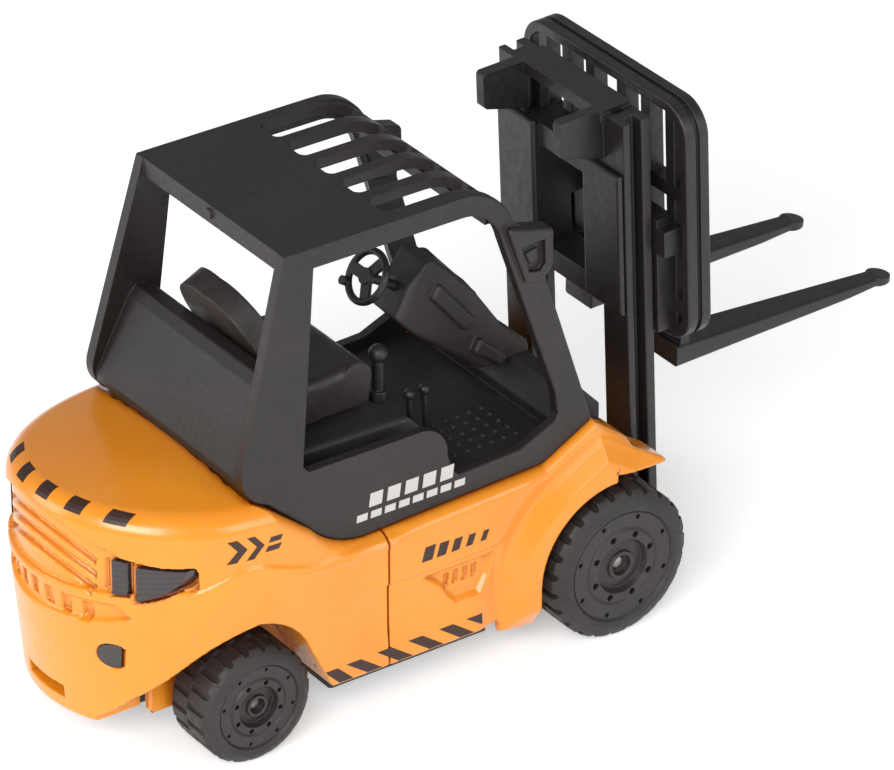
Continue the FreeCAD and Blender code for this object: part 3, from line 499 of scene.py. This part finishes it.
def body_field(x, y, z):
    """Signed distance to the whole painted body, hollow inside."""
    y = np.abs(y)
    plan = plan_field(x, y, z)
    relief = side_relief(x, z) * ease((y - 24.0) / 3.0) + rear_relief(y, z) * ease((-94.0 - x) / 2.0)
    outer = plan + relief
    crown = z - HOOD_Z + HOOD_DROP * (y / CROWN_HALF) ** 2
    deck = deck_field(x, z)
    solid = np.maximum(both(outer, crown, SHOULDER), both(outer, -deck, 2.5))
    profile = polygon(x, z, [
        (-122.0, BUMPER_Z), (-122.0, 70.0), (5.5, 70.0), (5.5, 8.6), (-3.0, 8.6), (-3.0, SKIRT_Z),
        (-67.6, SKIRT_Z), (-72.0, BUMPER_Z)])
    solid = both(solid, profile, 0.7)
    solid = either(solid, np.maximum(flare_field(x, y, z), -deck), 0.8)
    well = well_field(x, y, z)
    solid = both(solid, -well, 0.55)
    hollow = np.maximum(np.maximum(plan + WALL + 1.2, ROOF_WALL - deck), np.maximum(crown + ROOF_WALL, WALL - well))
    hollow = np.maximum(hollow, np.maximum(x - 3.2, z - 48.0))
    room = np.maximum(np.maximum(np.abs(x + 34.3) - 37.9, y - 26.8), 40.9 - z)
    ears = np.maximum(np.maximum(np.abs(x - 4.5) - 1.5, np.abs(y - 11.0) - 3.8), z - 17.4)
    lamp_hole = np.maximum(
        np.hypot(y - BUMPER_LAMP_Y, z - BUMPER_LAMP_Z) - BUMPER_LAMP_R, x - BUMPER_LAMP_DEEP_X)
    slot = np.maximum(
        np.maximum(y - SLOT_HALF_Y, np.abs(z - SLOT_Z) - SLOT_HALF_Z), x - SLOT_DEEP_X)
    solid = np.maximum(solid, -np.minimum(np.minimum(hollow, room), ears))
    return both(solid, -np.minimum(lamp_hole, slot), 0.35)


def surface_net(field, low, high, step):
    """Points and square faces of the surface where a field is zero, by surface nets."""
    axes = [np.arange(a, b + step, step) for a, b in zip(low, high)]
    x, y, z = np.meshgrid(*axes, indexing="ij", sparse=True)
    value = field(x, y, z).astype(np.float32)
    inside = value < 0
    shape = tuple(n - 1 for n in inside.shape)
    corners = [(i, j, k) for i in (0, 1) for j in (0, 1) for k in (0, 1)]

    def part(array, corner):
        return array[tuple(slice(c, c + n) for c, n in zip(corner, shape))]

    count = sum(part(inside, c).astype(np.int8) for c in corners)
    cells = np.argwhere((count > 0) & (count < 8))
    total = np.zeros((len(cells), 3))
    hits = np.zeros(len(cells))
    for c in corners:
        for axis in range(3):
            if c[axis]:
                continue
            d = tuple(1 if k == axis else c[k] for k in range(3))
            va = value[tuple((cells + c).T)]
            vb = value[tuple((cells + d).T)]
            cross = (va < 0) != (vb < 0)
            share = np.where(cross, va / np.where(cross, va - vb, 1.0), 0.0)
            spot = np.array(c, float) + np.outer(share, np.eye(3)[axis])
            total += spot * cross[:, None]
            hits += cross
    points = np.array(low) + step * (cells + total / hits[:, None])
    index = -np.ones(shape, np.int64)
    index[tuple(cells.T)] = np.arange(len(cells))
    faces = []
    for axis in range(3):
        ahead = [slice(None)] * 3
        ahead[axis] = slice(1, None)
        behind = [slice(None)] * 3
        behind[axis] = slice(None, -1)
        first, second = inside[tuple(behind)], inside[tuple(ahead)]
        for flip in (False, True):
            edge = np.argwhere((first & ~second) if not flip else (~first & second))
            b, c = (axis + 1) % 3, (axis + 2) % 3
            eb, ec = np.eye(3, dtype=int)[b], np.eye(3, dtype=int)[c]
            ring = [edge - eb - ec, edge - ec, edge, edge - eb]
            if flip:
                ring.reverse()
            faces.append(np.stack([index[tuple(r.T)] for r in ring], 1))
    return points, np.concatenate(faces)


def slope_of(field, points, reach=0.02):
    """Gradient of a field at the points."""
    result = np.zeros_like(points)
    for axis in range(3):
        shift = np.zeros(3)
        shift[axis] = reach
        ahead, behind = points + shift, points - shift
        result[:, axis] = (field(*ahead.T) - field(*behind.T)) / (2 * reach)
    return result


def settle(field, points, step):
    """Points moved onto the surface, and the surface normals there."""
    for _ in range(3):
        slope = slope_of(field, points)
        size = np.maximum((slope ** 2).sum(1), 0.25)
        move = -slope * (field(*points.T) / size)[:, None]
        length = np.maximum(np.sqrt((move ** 2).sum(1)), 1e-9)
        points = points + move * np.minimum(1.0, 0.5 * step / length)[:, None]
    slope = slope_of(field, points, 0.08)
    return points, slope / np.maximum(np.sqrt((slope ** 2).sum(1)), 1e-9)[:, None]


def placed(name, data):
    """A new object, linked into the scene."""
    obj = bpy.data.objects.new(name, data)
    bpy.context.scene.collection.objects.link(obj)
    return obj


def add_mesh(name, points, faces, material, normals=None):
    """A mesh object from points in body millimetres."""
    mesh = bpy.data.meshes.new(name)
    mesh.from_pydata(frame_point(points).tolist(), [], np.asarray(faces).tolist())
    mesh.materials.append(material)
    mesh.polygons.foreach_set("use_smooth", [True] * len(mesh.polygons))
    if normals is not None:
        mesh.normals_split_custom_set_from_vertices(normals.tolist())
    return placed(name, mesh)


def cast_shell(name, node, field, low_x, high_x):
    """One painted casting, drawn as a smooth surface in place of its CAD node."""
    points, faces = surface_net(
        field, (low_x, -NET_HALF_Y, NET_LOW_Z), (high_x, NET_HALF_Y, NET_HIGH_Z), STEP)
    points, normals = settle(field, points, STEP)
    obj = add_mesh(name, points, faces, ENAMEL, normals)
    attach(obj, "chassis")
    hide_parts(node)
    return obj


def rear_field(x, y, z):
    """Distance to the casting behind the seam."""
    return both(body_field(x, y, z), x - SEAM_X + SEAM_HALF, 0.35)


def front_field(x, y, z):
    """Distance to the casting in front of the seam."""
    return both(body_field(x, y, z), SEAM_X + SEAM_HALF - x, 0.35)


cast_shell("rear_casting", "rear_body_shell", rear_field, -119.0, -53.0)
cast_shell("front_casting", "front_body_shell", front_field, -55.5, 16.5)


# ---------------------------------------------------------------- printed marks
def patch(corners, across, down):
    """A four-cornered patch in (u, v), split into a grid of points."""
    a, b, c, d = (np.array(corner, float) for corner in corners)
    s = np.linspace(0.0, 1.0, across + 1)[:, None, None]
    t = np.linspace(0.0, 1.0, down + 1)[None, :, None]
    grid = a * (1 - s) * (1 - t) + b * s * (1 - t) + c * s * t + d * (1 - s) * t
    return grid.reshape(-1, 2)


def patch_faces(across, down, first, count):
    """Closed thin skin: top squares, underside squares and the rim between them."""
    def at(i, j, layer=0):
        return first + i * (down + 1) + j + layer * count

    faces = []
    for i in range(across):
        for j in range(down):
            ring = [at(i, j), at(i + 1, j), at(i + 1, j + 1), at(i, j + 1)]
            faces.append(ring)
            faces.append([k + count for k in reversed(ring)])
    rim = [(i, 0) for i in range(across)] + [(across, j) for j in range(down)]
    rim += [(i, down) for i in range(across, 0, -1)] + [(0, j) for j in range(down, 0, -1)]
    for k, (i, j) in enumerate(rim):
        p, q = rim[(k + 1) % len(rim)]
        faces.append([at(p, q), at(i, j), at(i, j, 1), at(p, q, 1)])
    return faces


def printed(name, patches, onto, material, across=8, down=4):
    """One printed mark; onto() carries (u, v) to points on the surface and their outward normals."""
    flat = np.concatenate([patch(corners, across, down) for corners in patches])
    points, normals = onto(flat)
    size = (across + 1) * (down + 1)
    count = len(points)
    faces = []
    for k in range(len(patches)):
        faces += patch_faces(across, down, k * size, count)
    both_layers = np.concatenate([points + INK_ABOVE * normals, points - INK_BELOW * normals])
    obj = add_mesh(name, both_layers, faces, material)
    obj.data.validate()
    make_outward(obj.data)
    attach(obj, "chassis")
    return obj


def make_outward(mesh):
    """Turn the faces of a closed mesh outwards."""
    work = bmesh.new()
    work.from_mesh(mesh)
    bmesh.ops.recalc_face_normals(work, faces=work.faces)
    for f in work.faces:
        f.smooth = False
    work.to_mesh(mesh)
    work.free()


def along(start, direction):
    """Points where rays from start first meet the body, with the normals there."""
    points = start.copy()
    for _ in range(MARCH_STEPS):
        points = points + np.outer(body_field(*points.T) * MARCH_SHARE, direction)
    slope = slope_of(body_field, points, 0.1)
    return points, slope / np.sqrt((slope ** 2).sum(1))[:, None]


def on_side(side):
    """(x, z) put on one flank of the body."""
    def onto(flat):
        start = np.stack([flat[:, 0], np.full(len(flat), side * SIDE_MARK_START_Y), flat[:, 1]], 1)
        return along(start, np.array([0.0, -side, 0.0]))
    return onto


def on_rim(flat):
    """(y, distance up the curve) put on the rounded rear edge of the hood."""
    y, rise = flat[:, 0], flat[:, 1]
    edge = REAR_CENTRE_X - REAR_LENGTH * np.sqrt(1.0 - (y / BODY_HALF) ** 2)
    tilt = math.radians(RIM_MARK_TILT)
    centre_x = edge + RIM_MARK_INSET
    centre_z = HOOD_Z - RIM_MARK_DROP - HOOD_DROP * (y / CROWN_HALF) ** 2
    up = np.array([math.sin(tilt), 0.0, math.cos(tilt)])
    inward = np.array([math.cos(tilt), 0.0, -math.sin(tilt)])
    start = np.stack([centre_x, y, centre_z], 1) + np.outer(rise, up) - RIM_MARK_START * inward
    return along(start, inward)


def on_cab(side):
    """(x, z) put on the leaning side panel of the cab."""
    lean = (CAB_HALF - ROOF_HALF) / (ROOF_Z - SILL_Z)

    def onto(flat):
        y = CAB_HALF - (flat[:, 1] - SILL_Z) * lean
        points = np.stack([flat[:, 0], side * y, flat[:, 1]], 1)
        out = np.array([0.0, side, lean]) / math.hypot(1.0, lean)
        return points, np.tile(out, (len(flat), 1))
    return onto


def slanted(x, z, width, height, lean):
    """A leaning bar from its lower rear corner."""
    return [(x, z), (x + width, z), (x + width + lean, z + height), (x + lean, z + height)]


def hazard_stripes():
    """Warning stripes along the skirt; the first is cut short by the wheel arch and the last by its end."""
    stripes = [[(-66.2, 9.8), (-63.0, 9.8), (-66.6, 13.3), (-69.7, 13.3)]]
    for k in range(4):
        x = -59.6 + 7.4 * k
        low, high = SKIRT_MARK_LOW_Z, SKIRT_MARK_HIGH_Z
        stripes.append([(x, low), (x + 3.4, low), (x - 1.6, high), (x - 5.0, high)])
    stripes.append([(-32.0, 10.9), (-31.9, 10.9), (-31.9, 13.4), (-35.8, 13.4)])
    return stripes


def chevrons():
    """Two arrow marks pointing forward and two short bars."""
    marks = []
    for x, width in ((-90.6, 2.0), (-86.6, 1.6)):
        marks.append([(x, 44.4), (x + width, 44.4), (x + width + 2.2, 47.0), (x + 2.2, 47.0)])
        marks.append([(x + 2.2, 47.0), (x + width + 2.2, 47.0), (x + width, 49.6), (x, 49.6)])
    marks.append([(-82.6, 45.2), (-79.6, 45.2), (-79.0, 46.4), (-82.0, 46.4)])
    marks.append([(-81.9, 47.2), (-79.3, 47.2), (-78.9, 48.4), (-81.5, 48.4)])
    return marks


def speed_bars():
    """Five leaning bars that shorten towards the front."""
    return [slanted(-46.6 + 3.5 * k, 30.4, 2.5 - 0.3 * k, 3.2 - 0.25 * k, 0.9) for k in range(5)]


def rim_blocks():
    """Plain blocks along the rear edge of the hood."""
    return [slanted(y - 2.0, -1.7, 3.4, 3.4, 0.5) for y in (13.0, 5.0, -3.0, -10.6, -18.0)]


def cab_bars():
    """Two rows of plain white bars."""
    upper = [slanted(-57.0 + 4.2 * k, 45.2, 3.0, 2.9, 0.5) for k in range(5)]
    lower = [slanted(-60.0 + 3.3 * k, 42.7, 2.5, 1.5, 0.2) for k in range(8)]
    return upper + lower


for side, name in ((1, "left"), (-1, "right")):
    printed("print_stripes_" + name, hazard_stripes(), on_side(side), DARK_INK)
    printed("print_chevrons_" + name, chevrons(), on_side(side), DARK_INK)
    printed("print_bars_" + name, speed_bars(), on_side(side), DARK_INK)
    printed("print_cab_" + name, cab_bars(), on_cab(side), WHITE_INK)
printed("print_rim", rim_blocks(), on_rim, DARK_INK)


# ---------------------------------------------------------------- camera, lights, floor
def area_light(name, place, aim, size, watts):
    """A soft rectangular light turned towards a point."""
    lamp = bpy.data.lights.new(name, "AREA")
    lamp.shape = "RECTANGLE"
    lamp.size, lamp.size_y = size
    lamp.energy = watts
    obj = placed(name, lamp)
    obj.location = place
    obj.rotation_euler = (Vector(aim) - Vector(place)).to_track_quat("-Z", "Y").to_euler()
    return obj


def studio():
    """Camera, soft lights, a white surround and a pale floor."""
    lens = bpy.data.cameras.new("camera")
    lens.lens, lens.sensor_width = LENS, SENSOR
    lens.clip_start, lens.clip_end = 0.05, 50.0
    camera = placed("camera", lens)
    camera.location = VIEW_TARGET + VIEW_BACK * VIEW_DISTANCE
    camera.rotation_euler = (-VIEW_BACK).to_track_quat("-Z", "Y").to_euler()
    bpy.context.scene.camera = camera

    area_light("key", (-0.95, -0.85, 0.85), LIGHT_AIM, (0.9, 0.7), KEY_WATTS)
    area_light("side", (0.35, -1.15, 0.55), LIGHT_AIM, (0.7, 0.6), FILL_WATTS)
    area_light("rear", (-1.05, 0.45, 0.45), LIGHT_AIM, (0.7, 0.6), FILL_WATTS)

    world = bpy.data.worlds.new("surround")
    world.use_nodes = True
    sky = world.node_tree.nodes["Background"]
    sky.inputs["Color"].default_value = (1.0, 1.0, 1.0, 1.0)
    sky.inputs["Strength"].default_value = SKY_STRENGTH
    bpy.context.scene.world = world
    bpy.context.scene.view_settings.view_transform = "Standard"

    mesh = bpy.data.meshes.new("floor")
    half = FLOOR_HALF
    mesh.from_pydata([(-half, -half, 0), (half, -half, 0), (half, half, 0), (-half, half, 0)], [],
                     [(0, 1, 2, 3)])
    floor = placed("floor", mesh)
    floor.data.materials.append(floor_card())


studio()
